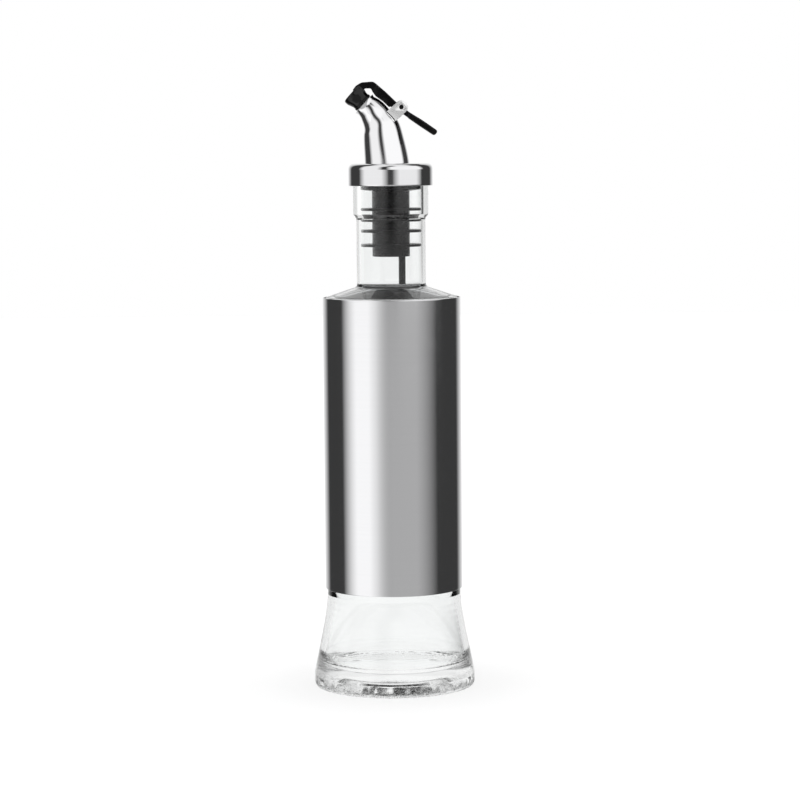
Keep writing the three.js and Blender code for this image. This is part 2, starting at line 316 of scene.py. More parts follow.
def hairScratchesGroup():
    # sparse hair-fine scratches: thin edges of stretched cells, broken up by a second noise
    group, given, result = newGroup("hairScratches", {"Size": 500, "Amount": 1}, ["Mask"])
    place = addNode(group, "ShaderNodeTexCoord")
    total = None
    for turn, stretch in ((0.6, (1, 0.05, 0.3)), (2.1, (0.3, 1, 0.06))):
        mapping = addNode(group, "ShaderNodeMapping")
        mapping.inputs["Rotation"].default_value = (turn, turn * 0.7, turn * 1.3)
        mapping.inputs["Scale"].default_value = stretch
        group.links.new(place.outputs["Object"], mapping.inputs["Vector"])
        cells = addNode(group, "ShaderNodeTexVoronoi", feature="DISTANCE_TO_EDGE")
        group.links.new(mapping.outputs[0], cells.inputs["Vector"])
        group.links.new(given.outputs["Size"], cells.inputs["Scale"])
        edge = rampNode(group, cells.outputs["Distance"], [(0, 1), (0.012, 0)])
        total = edge if total is None else mathNode(group, "MAXIMUM", total, edge)
    breakUp = addNode(group, "ShaderNodeTexNoise", {"Scale": 180, "Detail": 2})
    group.links.new(place.outputs["Object"], breakUp.inputs["Vector"])
    patch = rampNode(group, breakUp.outputs["Fac"], [(0.52, 0), (0.62, 1)])
    sparse = mathNode(group, "MULTIPLY", total, patch)
    group.links.new(mathNode(group, "MULTIPLY", sparse, given.outputs["Amount"]), result.inputs["Mask"])
    return group


def mouldGrainGroup():
    # the fine even grain of a moulded part, with a little colour drift
    group, given, result = newGroup("mouldGrain", {"Size": 2500}, ["Height", "Drift"])
    place = addNode(group, "ShaderNodeTexCoord")
    grain = addNode(group, "ShaderNodeTexNoise", {"Detail": 2, "Roughness": 0.6})
    group.links.new(place.outputs["Object"], grain.inputs["Vector"])
    group.links.new(given.outputs["Size"], grain.inputs["Scale"])
    drift = addNode(group, "ShaderNodeTexNoise", {"Scale": 90, "Detail": 3})
    group.links.new(place.outputs["Object"], drift.inputs["Vector"])
    group.links.new(grain.outputs["Fac"], result.inputs["Height"])
    group.links.new(drift.outputs["Fac"], result.inputs["Drift"])
    return group


def startMaterial(name, values):
    material = bpy.data.materials.new(name)
    material.use_nodes = True
    tree = material.node_tree
    shader = tree.nodes["Principled BSDF"]
    for key, value in values.items():
        shader.inputs[key].default_value = value
    return material, tree, shader


def useGroup(tree, group, **values):
    node = addNode(tree, "ShaderNodeGroup", node_tree=group)
    for key, value in values.items():
        node.inputs[key].default_value = value
    return node


def mixColour(tree, factor, first, second):
    node = addNode(tree, "ShaderNodeMix", data_type="RGBA")
    tree.links.new(factor, node.inputs[0])
    node.inputs[6].default_value = (*first, 1)
    node.inputs[7].default_value = (*second, 1)
    return node.outputs[2]


def mapRange(tree, value, low, high, fromLow=0, fromHigh=1):
    node = addNode(tree, "ShaderNodeMapRange", {"To Min": low, "To Max": high, "From Min": fromLow,
                                                "From Max": fromHigh})
    tree.links.new(value, node.inputs["Value"])
    return node.outputs[0]


def mixValues(tree, factor, first, second):
    # blends two numbers or sockets
    node = addNode(tree, "ShaderNodeMix", data_type="FLOAT")
    tree.links.new(factor, node.inputs[0])
    for socket, value in zip(node.inputs[2:4], (first, second)):
        if isinstance(value, (int, float)):
            socket.default_value = value
        else:
            tree.links.new(value, socket)
    return node.outputs[0]


def link(tree, value, shader, socket):
    tree.links.new(value, shader.inputs[socket])


def bumpFrom(tree, shader, height, strength, distance):
    bump = addNode(tree, "ShaderNodeBump", {"Strength": strength, "Distance": distance})
    tree.links.new(height, bump.inputs["Height"])
    tree.links.new(bump.outputs[0], shader.inputs["Normal"])
    return bump


# The lens and place of the camera, in millimetres and degrees.
cameraView = {"distance": 1260, "height": 246, "aside": 3.5, "pitch": 5.08, "roll": -0.487, "lens": 122.1}


def placeCamera():
    data = bpy.data.cameras.new("camera")
    data.lens = cameraView["lens"]
    data.sensor_width = 36
    data.clip_start = 0.01
    camera = bpy.data.objects.new("camera", data)
    spot = Vector((cameraView["aside"], -cameraView["distance"], cameraView["height"])) * mm
    tilt = Matrix.Rotation(math.radians(90 - cameraView["pitch"]), 4, "X")
    roll = Matrix.Rotation(math.radians(cameraView["roll"]), 4, "Z")
    camera.matrix_world = Matrix.Translation(spot) @ tilt @ roll
    scene.collection.objects.link(camera)
    scene.camera = camera
    print("camera placed")


floorLook = {"reach": 3000, "pale": (0.93, 0.93, 0.93), "worn": (0.91, 0.91, 0.91)}


def placeFloor():
    material, tree, shader = startMaterial("paleFloor", {"Roughness": 0.9, "Specular IOR Level": 0.1})
    marks = useGroup(tree, groups["handlingMarks"], Size=3, Amount=0.3)
    colour = mixColour(tree, marks.outputs["Mask"], floorLook["pale"], floorLook["worn"])
    link(tree, colour, shader, "Base Color")
    mesh = bmesh.new()
    bmesh.ops.create_grid(mesh, x_segments=4, y_segments=4, size=floorLook["reach"] * mm)
    floor = finishMesh("floor", mesh, material)
    floor.visible_glossy = False
    floor.visible_transmission = False
    print("floor placed")


# A dark room with a pale ceiling, a pale screen at the back and soft panels round the bottle. A panel is its
# direction in degrees from the camera's side towards +X, its width, the softness of its edges and its
# brightness. The sleeve reflects the low panels, the collar the middle ones and the spout the high ones.
studio = {
    "room": 0.05,
    "screen": (180, 60, 30, 0.9),
    "low": [(-45, 65, 30, 1.2), (20, 80, 40, 0.5)],
    "middle": [(-50, 70, 20, 1), (50, 70, 20, 1)],
    "high": [(-60, 60, 15, 1), (45, 100, 15, 1.1)],
    "inside": [(180, 80, 10, 0.85), (-115, 50, 20, 1.5)],
    "overhead": 0.9,
    "lowToMiddle": (-2.1, -1.2),
    "middleToHigh": (3, 7),
    "highToMiddle": (42, 50),
    "middleToOverhead": (60, 75),
    "floorLight": 1.2,
    "throughGlass": 0.97,
    "insideAway": 0.85,
    "insideSpread": (6, 14),
    "insideBelow": 0.97,
    "insideFall": (-1, -5),
    "deepInside": 0.8,
}


def lightStudio():
    world = bpy.data.worlds.new("studio")
    scene.world = world
    world.use_nodes = True
    tree = world.node_tree
    background = tree.nodes["Background"]
    place = addNode(tree, "ShaderNodeTexCoord")
    split = addNode(tree, "ShaderNodeSeparateXYZ")
    tree.links.new(place.outputs["Generated"], split.inputs[0])
    flatten = addNode(tree, "ShaderNodeVectorMath", {1: (1, 1, 0)}, operation="MULTIPLY")
    level = addNode(tree, "ShaderNodeVectorMath", operation="NORMALIZE")
    tree.links.new(place.outputs["Generated"], flatten.inputs[0])
    tree.links.new(flatten.outputs[0], level.inputs[0])

    def bands(name):
        # the room's own dark, with each panel laid over it
        light = studio["room"]
        for direction, width, softness, brightness in [studio["screen"], *studio[name]]:
            turned = math.radians(direction)
            towards = (math.sin(turned), -math.cos(turned), 0)
            facing = addNode(tree, "ShaderNodeVectorMath", {1: towards}, operation="DOT_PRODUCT")
            tree.links.new(level.outputs[0], facing.inputs[0])
            outer, inner = (math.cos(math.radians((width + side * softness) / 2)) for side in (1, -1))
            cover = mapRange(tree, facing.outputs["Value"], 0, 1, outer, inner)
            light = mixValues(tree, cover, light, brightness)
        return light

    def rise(name):
        low, high = (math.sin(math.radians(degrees)) for degrees in studio[name])
        return mapRange(tree, split.outputs["Z"], 0, 1, low, high)

    seen = mixValues(tree, rise("lowToMiddle"), bands("low"), bands("middle"))
    seen = mixValues(tree, rise("middleToHigh"), seen, bands("high"))
    seen = mixValues(tree, rise("highToMiddle"), seen, bands("middle"))
    seen = mixValues(tree, rise("middleToOverhead"), seen, studio["overhead"])
    path = addNode(tree, "ShaderNodeLightPath")
    once = mathNode(tree, "GREATER_THAN", path.outputs["Glossy Depth"], 0.5)
    twice = mathNode(tree, "GREATER_THAN", path.outputs["Glossy Depth"], 1.5)
    spread = mapRange(tree, mathNode(tree, "ABSOLUTE", split.outputs["Z"]), 0, 1,
                      *(math.sin(math.radians(degrees)) for degrees in studio["insideSpread"]))
    inside = mixValues(tree, spread, bands("inside"), studio["insideAway"])
    inside = mixValues(tree, twice, inside, studio["deepInside"])
    fall = mapRange(tree, split.outputs["Z"], 0, 1,
                    *(math.sin(math.radians(degrees)) for degrees in studio["insideFall"]))
    inside = mixValues(tree, fall, inside, studio["insideBelow"])
    through = mixValues(tree, once, studio["throughGlass"], inside)
    seen = mixValues(tree, path.outputs["Is Transmission Ray"], seen, through)
    seen = mixValues(tree, path.outputs["Is Diffuse Ray"], seen, studio["floorLight"])
    seen = mixValues(tree, path.outputs["Is Camera Ray"], seen, 1.0)
    tree.links.new(seen, background.inputs["Color"])
    world.cycles.sampling_method = "NONE"  # each kind of ray sees its own studio
    scene.view_settings.view_transform = "Standard"
    print("studio lit")


markSizes = {"glass": 45, "steel": 35, "plastic": 150}  # handling marks, more to the metre as it rises
relief = {"steel": 0.0001, "plastic": 0.00005}  # distance that each bump works over, in metres

# Each finish: its two colours, its roughness from clean to worn, and the size and strength of its detail.
steels = {
    "sleeveSteel": {"clean": (0.8, 0.8, 0.81), "worn": (0.75, 0.75, 0.76), "rough": (0.09, 0.11),
                    "line": 2600, "scratch": 160, "bump": 0.02},
    "collarSteel": {"clean": (0.84, 0.84, 0.85), "worn": (0.79, 0.79, 0.8), "rough": (0.06, 0.09),
                    "line": 3200, "scratch": 220, "bump": 0.015},
    "polishedSteel": {"clean": (0.9, 0.9, 0.91), "worn": (0.84, 0.84, 0.85), "rough": (0.07, 0.13),
                      "line": 4000, "scratch": 400, "bump": 0.02},
    "bracketSteel": {"clean": (0.98, 0.98, 0.98), "worn": (0.94, 0.94, 0.94), "rough": (0.28, 0.34),
                     "line": 1500, "scratch": 250, "bump": 0.002},
    "springWire": {"clean": (0.6, 0.6, 0.61), "worn": (0.45, 0.44, 0.43), "rough": (0.2, 0.34),
                   "line": 6000, "scratch": 700, "bump": 0.06},
}
plastics = {
    "leverBlack": {"clean": (0.0015, 0.0015, 0.0018), "worn": (0.004, 0.0036, 0.0036), "rough": (0.1, 0.2),
                   "shine": 0.35, "grain": 1400, "bump": 0.05},
    "coreBlack": {"clean": (0.002, 0.002, 0.002), "worn": (0.005, 0.005, 0.005), "rough": (0.22, 0.34),
                  "shine": 0.4, "grain": 1800, "bump": 0.08},
    "siliconeBlack": {"clean": (0.002, 0.002, 0.0022), "worn": (0.006, 0.006, 0.006), "rough": (0.24, 0.34),
                      "shine": 0.2, "grain": 2600, "bump": 0.06},
    "tapeFilm": {"clean": (0.12, 0.12, 0.12), "worn": (0.09, 0.09, 0.09), "rough": (0.35, 0.5),
                 "shine": 0.5, "grain": 900, "bump": 0.1},
}
glassLook = {
    "tint": (0.985, 0.993, 0.991, 1), "haze": 0.02, "ripple": 45, "bump": 0.15, "depth": 0.0004,
    "frost": (0.1, 0.5), "frostHeights": (0.0008, 0.0042), "speckle": 900,
}


def buildGlassFinish():
    material, tree, shader = startMaterial("clearGlass", {
        "Base Color": glassLook["tint"], "Transmission Weight": 1, "IOR": 1.5, "Metallic": 0})
    marks = useGroup(tree, groups["handlingMarks"], Size=markSizes["glass"], Amount=1)
    # the foot is etched underneath
    place = addNode(tree, "ShaderNodeTexCoord")
    split = addNode(tree, "ShaderNodeSeparateXYZ")
    tree.links.new(place.outputs["Object"], split.inputs[0])
    speckle = addNode(tree, "ShaderNodeTexNoise",
                      {"Scale": glassLook["speckle"], "Detail": 2, "Roughness": 0.6})
    tree.links.new(place.outputs["Object"], speckle.inputs["Vector"])
    speckled = mapRange(tree, speckle.outputs["Fac"], *glassLook["frost"], 0.4, 0.6)
    fade = mapRange(tree, split.outputs["Z"], 1, 0, *glassLook["frostHeights"])
    frost = mathNode(tree, "MULTIPLY", speckled, fade)
    haze = mapRange(tree, marks.outputs["Mask"], 0, glassLook["haze"])
    link(tree, mathNode(tree, "ADD", frost, haze), shader, "Roughness")
    ripple = addNode(tree, "ShaderNodeTexNoise",
                     {"Scale": glassLook["ripple"], "Detail": 1, "Roughness": 0.4})
    tree.links.new(place.outputs["Object"], ripple.inputs["Vector"])
    bumpFrom(tree, shader, ripple.outputs["Fac"], glassLook["bump"], glassLook["depth"])
    return material


def buildSteelFinish(name, look):
    material, tree, shader = startMaterial(name, {"Metallic": 1})
    marks = useGroup(tree, groups["handlingMarks"], Size=markSizes["steel"], Amount=0.8)
    brush = useGroup(tree, groups["brushLines"], Fineness=look["line"], Reach=8)
    scratches = useGroup(tree, groups["hairScratches"], Size=look["scratch"], Amount=0.6)
    link(tree, mixColour(tree, brush.outputs["Height"], look["clean"], look["worn"]), shader, "Base Color")
    worn = mathNode(tree, "ADD", marks.outputs["Mask"], scratches.outputs["Mask"], clamp=True)
    link(tree, mapRange(tree, worn, *look["rough"]), shader, "Roughness")
    bumpFrom(tree, shader, brush.outputs["Height"], look["bump"], relief["steel"])
    return material


def buildPlasticFinish(name, look):
    material, tree, shader = startMaterial(name, {"Metallic": 0, "Specular IOR Level": look["shine"]})
    mould = useGroup(tree, groups["mouldGrain"], Size=look["grain"])
    marks = useGroup(tree, groups["handlingMarks"], Size=markSizes["plastic"], Amount=1)
    link(tree, mixColour(tree, mould.outputs["Drift"], look["clean"], look["worn"]), shader, "Base Color")
    link(tree, mapRange(tree, marks.outputs["Mask"], *look["rough"]), shader, "Roughness")
    bumpFrom(tree, shader, mould.outputs["Height"], look["bump"], relief["plastic"])
    return material


def buildFinishes():
    made = {"clearGlass": buildGlassFinish()}
    made.update({name: buildSteelFinish(name, look) for name, look in steels.items()})
    made.update({name: buildPlasticFinish(name, look) for name, look in plastics.items()})
    print("finishes built")
    return made


def refinish(node, finish):
    # a CAD node keeps its shape and takes a better finish
    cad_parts[node].material_slots[0].material = finishes[finish]


def register(piece, body, slotName, *nodes):
    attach(piece, body)
    if nodes:
        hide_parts(*nodes)


# Heights that the pieces share, in millimetres.
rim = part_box("glass_bottle")[1].z / mm
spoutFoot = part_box("spout")[0].z / mm
pinLow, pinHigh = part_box("hinge_pin")
pivot = Vector(((pinLow.x + pinHigh.x) / 2, (pinLow.z + pinHigh.z) / 2)) / mm
boreRadius = 14.3
gap = 0.3

glassSizes = {
    "baseRadius": 37.5, "heelRadius": 5, "bearingWidth": 2.5, "puntHeight": 4, "floorThickness": 5.5,
    "flareHeight": 46, "bodyRadius": 31, "wall": 2.5, "neckRadius": 16, "beadRadius": 17.4,
    "beadHeight": 18.7, "neckLength": 32.3, "segments": 288, "stipple": 0.3, "seed": 7,
}


def flareCurve(inset, steps):
    # the soft cone between the heel and the body
    size = glassSizes
    footRadius = size["baseRadius"] - inset
    topRadius = size["bodyRadius"] - inset
    foot = size["heelRadius"] + 1
    rise = size["flareHeight"] - foot
    spread = footRadius - topRadius
    controls = [Vector((footRadius, foot)), Vector((footRadius - 0.3 * spread, foot + 0.3 * rise)),
                Vector((topRadius + 0.05 * spread, size["flareHeight"] - 0.35 * rise)),
                Vector((topRadius, size["flareHeight"]))]
    points = []
    for step in range(steps + 1):
        t = step / steps
        weights = [(1 - t) ** 3, 3 * t * (1 - t) ** 2, 3 * t * t * (1 - t), t ** 3]
        points.append(sum((point * weight for point, weight in zip(controls, weights)), Vector((0, 0))))
    return points


def glassProfile():
    size = glassSizes
    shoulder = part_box("steel_sleeve")[1].z / mm
    beadFoot = rim - size["beadHeight"]
    neckFoot = beadFoot - size["neckLength"]
    inner = size["bodyRadius"] - size["wall"]
    ringOuter = size["baseRadius"] - size["heelRadius"]
    ringInner = ringOuter - size["bearingWidth"]
    floorTop = size["puntHeight"] + size["floorThickness"]
    drop = size["wall"] * 1.05
    puntEdge = ringInner * 0.55
    under = roundCorners([
        (0, size["puntHeight"]), (puntEdge, size["puntHeight"] - 0.6, 12), (ringInner, 0, 1.2),
        (ringOuter, 0), (size["baseRadius"], 0, size["heelRadius"]),
        (size["baseRadius"], size["heelRadius"] + 1),
    ], 9)[:-1]
    outer = roundCorners([
        (size["bodyRadius"], size["flareHeight"]), (size["bodyRadius"], shoulder, 2.5),
        (size["neckRadius"], neckFoot, 2), (size["neckRadius"], beadFoot - 0.9, 1.6),
        (size["beadRadius"], beadFoot + 1.1, 1.6), (size["beadRadius"], rim, 1.4), (boreRadius, rim, 0.7),
        (boreRadius, neckFoot - drop + 1, 2.5), (inner, shoulder - drop, 5), (inner, size["flareHeight"]),
    ], 8)[1:]
    inside = [point for point in reversed(flareCurve(size["wall"] + 0.5, 14)[:-1])
              if point.y > floorTop + 5.5]
    floor = roundCorners([
        (inner, size["flareHeight"]), (size["baseRadius"] - size["wall"] - 1.5, floorTop, 6.5),
        (inner * 0.5, floorTop + 0.2, 10), (0, floorTop + 0.8),
    ], 8)[1:]
    return under + flareCurve(0, 24) + outer + inside + floor


def makeGlass():
    size = glassSizes
    piece = spin("glassBottle", glassProfile(), size["segments"], finishes["clearGlass"], closed=False,
                 smoothAngle=50)
    ringOuter = size["baseRadius"] - size["heelRadius"]
    bandTop = 0.55 * size["heelRadius"]
    draw = random.Random(size["seed"])
    for vertex in piece.data.vertices:
        # the stippled band outside the ring that the bottle stands on
        x, y, z = vertex.co / mm
        reach = math.hypot(x, y)
        if z < bandTop and reach > ringOuter + 0.3:
            vertex.co *= 1 - size["stipple"] * draw.random() / reach
            vertex.co.z += size["stipple"] * draw.random() * mm
    piece.visible_diffuse = False  # light reaches the table through the glass
    register(piece, "bottle", "glass", "glass_bottle")
    print("glass bottle made")


sleeveSizes = {"thickness": 0.5, "hem": 0.22, "segments": 192}


def makeSleeve():
    low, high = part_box("steel_sleeve")
    outer = high.x / mm
    inner = outer - sleeveSizes["thickness"]
    hem = sleeveSizes["hem"]
    bottom, top = low.z / mm, high.z / mm
    profile = roundCorners([(inner, bottom, hem), (outer, bottom, hem),
                            (outer, top, hem), (inner, top, hem)], 4)
    piece = spin("steelSleeve", profile, sleeveSizes["segments"], finishes["sleeveSteel"], smoothAngle=50)
    register(piece, "bottle", "satin_steel", "steel_sleeve")
    refinish("tape_lower", "tapeFilm")
    refinish("tape_upper", "tapeFilm")
    print("sleeve made")


# Depths are measured down from the rim of the glass.
stopperSizes = {
    "stemRadius": 8.7, "stemWall": 0.8, "cupDepth": 6, "cupWall": 1, "depth": 37.1,
    "finDepths": (15.3, 20.3, 25.3, 31.9), "finThickness": 1.2, "finEdge": 0.3, "segments": 128,
}


def makePlug():
    size = stopperSizes
    low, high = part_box("stopper_plug")
    top, lip = high.z / mm, high.x / mm
    plug = boreRadius - gap
    stem = size["stemRadius"]
    inner = stem - size["stemWall"]
    cup = rim - size["cupDepth"]
    profile = roundCorners([
        (inner, low.z / mm, 0.2), (stem, low.z / mm, 0.6), (stem, cup - 0.9, 0.5), (plug, cup - 0.2, 0.5),
        (plug, rim + gap, 0.3), (lip, rim + gap, 0.4), (lip, top, 0.5), (plug - size["cupWall"], top, 0.3),
        (plug - size["cupWall"], cup + size["cupWall"]), (inner, cup + size["cupWall"]),
    ], 5)
    piece = spin("stopperPlug", profile, size["segments"], finishes["siliconeBlack"])
    register(piece, "stopper", "black_silicone", "stopper_plug")
    print("stopper plug made")


def finTree():
    # a rounded section swept round the stem, set at each of the given points
    measures = ("Ring Radius", "Fin Reach", "Fin Thickness", "Edge")
    tree, given, result, sockets = newShapeTree("finStack", measures)
    circle = addNode(tree, "GeometryNodeCurvePrimitiveCircle", {"Resolution": stopperSizes["segments"]})
    section = addNode(tree, "GeometryNodeCurvePrimitiveQuadrilateral")
    fillet = addNode(tree, "GeometryNodeFilletCurve", {"Count": 3}, mode="POLY")
    sweep = addNode(tree, "GeometryNodeCurveToMesh")
    placed = addNode(tree, "GeometryNodeInstanceOnPoints")
    tree.links.new(given.outputs["Ring Radius"], circle.inputs["Radius"])
    tree.links.new(given.outputs["Fin Reach"], section.inputs["Width"])
    tree.links.new(given.outputs["Fin Thickness"], section.inputs["Height"])
    tree.links.new(section.outputs[0], fillet.inputs["Curve"])
    tree.links.new(given.outputs["Edge"], fillet.inputs["Radius"])
    tree.links.new(circle.outputs[0], sweep.inputs["Curve"])
    tree.links.new(fillet.outputs[0], sweep.inputs["Profile Curve"])
    tree.links.new(given.outputs["Geometry"], placed.inputs["Points"])
    tree.links.new(sweep.outputs[0], placed.inputs["Instance"])
    closeShapeTree(tree, placed.outputs[0], result, finishes["siliconeBlack"])
    return tree, sockets


def makeFins():
    size = stopperSizes
    stem, plug = size["stemRadius"] - 0.3, boreRadius - gap
    data = bpy.data.meshes.new("stopperFins")
    data.from_pydata([(0, 0, (rim - depth) * mm) for depth in size["finDepths"]], [], [])
    piece = bpy.data.objects.new("stopperFins", data)
    scene.collection.objects.link(piece)
    tree, sockets = finTree()
    runShapeTree(piece, tree, sockets, {
        "Ring Radius": (stem + plug) / 2 * mm, "Fin Reach": (plug - stem) * mm,
        "Fin Thickness": size["finThickness"] * mm, "Edge": size["finEdge"] * mm})
    settle(piece, finishes["siliconeBlack"])
    register(piece, "stopper", "black_silicone", "stopper_plug")
    print("stopper fins made")


ventSizes = {"radius": 1.6, "wall": 0.7, "edge": 0.25, "segments": 48}


def makeVent():
    low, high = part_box("vent_tube")
    centre = (low.x + high.x) / 2 / mm
    outer, inner = ventSizes["radius"], ventSizes["radius"] - ventSizes["wall"]
    edge = ventSizes["edge"]
    bottom, top = low.z / mm, high.z / mm
    profile = roundCorners([(inner, bottom, edge), (outer, bottom, edge),
                            (outer, top, edge), (inner, top, edge)], 4)
    piece = spin("ventTube", profile, ventSizes["segments"], finishes["coreBlack"], centreX=centre)
    register(piece, "pourer_head", "black_plastic", "vent_tube")
    refinish("stopper_core", "coreBlack")
    refinish("spout_gasket", "siliconeBlack")
    print("vent tube made")


# Stations are (x, height above the foot, outer radius) along the bend.
spoutSizes = {
    "stations": [(-1.6, 0, 10.4), (-1.6, 2.5, 10.3), (-2.8, 12, 9.5), (-4, 19, 8.5), (-6, 23.3, 7.1),
                 (-8.4, 26.8, 6.3), (-11.9, 30, 5)],
    "wall": 0.8, "footRadius": 11.9, "footThickness": 1.4, "lipFlare": 0.9, "lipLength": 1.6,
    "stepsPerStation": 9, "segments": 128,
}


def alongSpout():
    # a smooth curve through the stations: (x, height, radius, lean) at each step
    stations = [Vector(station) for station in spoutSizes["stations"]]
    points = [2 * stations[0] - stations[1], *stations, 2 * stations[-1] - stations[-2]]
    steps = spoutSizes["stepsPerStation"]
    places = []
    for a, b, c, d in zip(points, points[1:], points[2:], points[3:]):
        first, second, third = ((q - p).length ** 0.5 for p, q in ((a, b), (b, c), (c, d)))
        leave = ((b - a) / first - (c - a) / (first + second) + (c - b) / second) * second
        arrive = ((c - b) / second - (d - b) / (second + third) + (d - c) / third) * second
        for step in range(steps + (c is stations[-1] or d is points[-1])):
            t = step / steps
            place = (b * (2 * t ** 3 - 3 * t ** 2 + 1) + leave * (t ** 3 - 2 * t ** 2 + t)
                     + c * (3 * t ** 2 - 2 * t ** 3) + arrive * (t ** 3 - t ** 2))
            slope = (b * (6 * t ** 2 - 6 * t) + leave * (3 * t ** 2 - 4 * t + 1)
                     + c * (6 * t - 6 * t ** 2) + arrive * (3 * t ** 2 - 2 * t))
            places.append((place.x, place.y, place.z, math.atan2(slope.x, slope.y)))
    return places


def makeSpout():
    size = spoutSizes
    places = alongSpout()
    mouth = Vector(places[-1][:2])
    footX, _, footRadius, _ = places[0]
    outer, inner = [], []
    for x, height, radius, lean in places:
        left = (mouth - Vector((x, height))).length
        flare = size["lipFlare"] * max(0, 1 - left / size["lipLength"]) ** 1.5
        if height > size["footThickness"] + 0.1:
            outer.append((x, spoutFoot + height, radius + flare, lean))
        inner.append((x, spoutFoot + height, radius - size["wall"] + flare / 2, lean))
    x, z, radius, lean = outer[-1]
    lip = (x + 0.12 * math.sin(lean), z + 0.12 * math.cos(lean), radius - 0.45, lean)
    foot = spoutFoot + size["footThickness"]
    rings = [(footX, spoutFoot, size["footRadius"], 0), (footX, foot - 0.2, size["footRadius"], 0),
             (footX, foot, size["footRadius"] - 0.2, 0), (footX, foot, footRadius + 0.25, 0),
             (footX, foot + 0.1, footRadius + 0.05, 0), *outer, lip, *reversed(inner)]
    piece = loftRings("spout", rings, size["segments"], finishes["polishedSteel"], smoothAngle=40)
    piece.name = "pouringSpout"
    register(piece, "pourer_head", "bright_steel", "spout")
    print("spout made")


collarSizes = {"sheet": 0.8, "corner": 3.5, "clear": 0.3, "segments": 160}


def makeCollar():
    size = collarSizes
    low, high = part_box("collar")
    outer = high.x / mm
    inner = outer - size["sheet"]
    bottom, top = low.z / mm, high.z / mm
    holeX, _, holeRadius = spoutSizes["stations"][0]
    holeRadius += size["clear"]
    side = roundCorners([
        (inner - 6, top - size["sheet"]), (inner, top - size["sheet"], size["corner"] - size["sheet"]),
        (inner, bottom, 0.2), (outer, bottom, 0.4), (outer, top, size["corner"]), (outer - 6, top),
    ], 8)
    rings = [(0, z, r, 0) for r, z in supportEnds(side, closed=False)]
    rings += [(holeX, top, holeRadius + 0.3, 0), (holeX, top - 0.25, holeRadius, 0),
              (holeX, top - size["sheet"], holeRadius, 0)]
    piece = loftRings("steelCollar", rings, size["segments"], finishes["collarSteel"], smoothAngle=40)
    register(piece, "pourer_head", "satin_steel", "collar")
    print("collar made")


bracketSizes = {
    "innerWidth": 8, "sheet": 0.8, "earRadius": 3, "earReach": 8.5, "earAngle": 42, "webDistance": 4.1,
    "holeRadius": 1.4, "edge": 0.14,
}
lean = Matrix.Rotation(-math.radians(bracketSizes["earAngle"]), 4, "Y")
atPivot = Matrix.Translation((pivot.x * mm, 0, pivot.y * mm))


def spoutCutter():
    # the spout's outside grown by the running gap, for fitting the bracket to it
    rings = [(x, spoutFoot + height, radius + gap, tilt) for x, height, radius, tilt in alongSpout()]
    rings = [(rings[0][0], rings[0][1], 0, 0), *rings, (rings[-1][0], rings[-1][1], 0, 0)]
    return loftRings("spoutCutter", rings, smallSegments, plainMaterial(), closed=False)


def makeBracket():
    size = bracketSizes
    r, reach = size["earRadius"], size["earReach"]
    width = size["innerWidth"] + 2 * size["sheet"]
    turns = [math.radians(90 - 180 * step / 24) for step in range(25)]
    ear = [(r * math.cos(turn), r * math.sin(turn)) for turn in turns]
    strip = slab([*ear, (-reach, -r), (-reach, r)], width)
    web = size["webDistance"]
    room = slab([(-web, -2 * r), (2 * r, -2 * r), (2 * r, 2 * r), (-web, 2 * r)], size["innerWidth"])
    for part in (strip, room):
        part.data.transform(atPivot @ lean)
    hole = crossBar(size["holeRadius"], 2 * width, pivot)
    boolean(strip, [room, spoutCutter(), hole], "DIFFERENCE")
    bevel = strip.modifiers.new("edges", "BEVEL")
    bevel.width = size["edge"] * mm
    bevel.segments = 2
    bevel.limit_method = "ANGLE"
    bevel.angle_limit = math.radians(50)
    bakeModifiers(strip)
    settle(strip, finishes["bracketSteel"], "leverBracket", 40)
    register(strip, "pourer_head", "bright_steel", "lever_bracket")
    print("lever bracket made")


pinSizes = {"radius": 1.1, "dome": 0.35, "segments": 48}


def makePin():
    half = pinHigh.y / mm
    radius = pinSizes["radius"]
    profile = roundCorners([(0, -half), (radius, -half, pinSizes["dome"]), (radius, half, pinSizes["dome"]),
                            (0, half)], 6)
    piece = spin("hingePin", profile, pinSizes["segments"], finishes["leverBlack"], closed=False)
    piece.data.transform(atPivot @ Matrix.Rotation(math.radians(90), 4, "X"))
    register(piece, "pourer_head", "black_plastic", "hinge_pin")
    print("hinge pin made")


springSizes = {"wire": 0.3, "coil": 1.8, "turns": 2.75, "width": 1.6, "shortLeg": 1.4, "stepsPerTurn": 24}


def springTree():
    # a round wire swept along the given points
    tree, given, result, sockets = newShapeTree("springWire", ("Wire Radius",))
    path = addNode(tree, "GeometryNodeMeshToCurve")
    wire = addNode(tree, "GeometryNodeCurvePrimitiveCircle", {"Resolution": 14})
    sweep = addNode(tree, "GeometryNodeCurveToMesh", {"Fill Caps": True})
    tree.links.new(given.outputs["Geometry"], path.inputs[0])
    tree.links.new(given.outputs["Wire Radius"], wire.inputs["Radius"])
    tree.links.new(path.outputs[0], sweep.inputs["Curve"])
    tree.links.new(wire.outputs[0], sweep.inputs["Profile Curve"])
    closeShapeTree(tree, sweep.outputs[0], result, finishes["springWire"])
    return tree, sockets


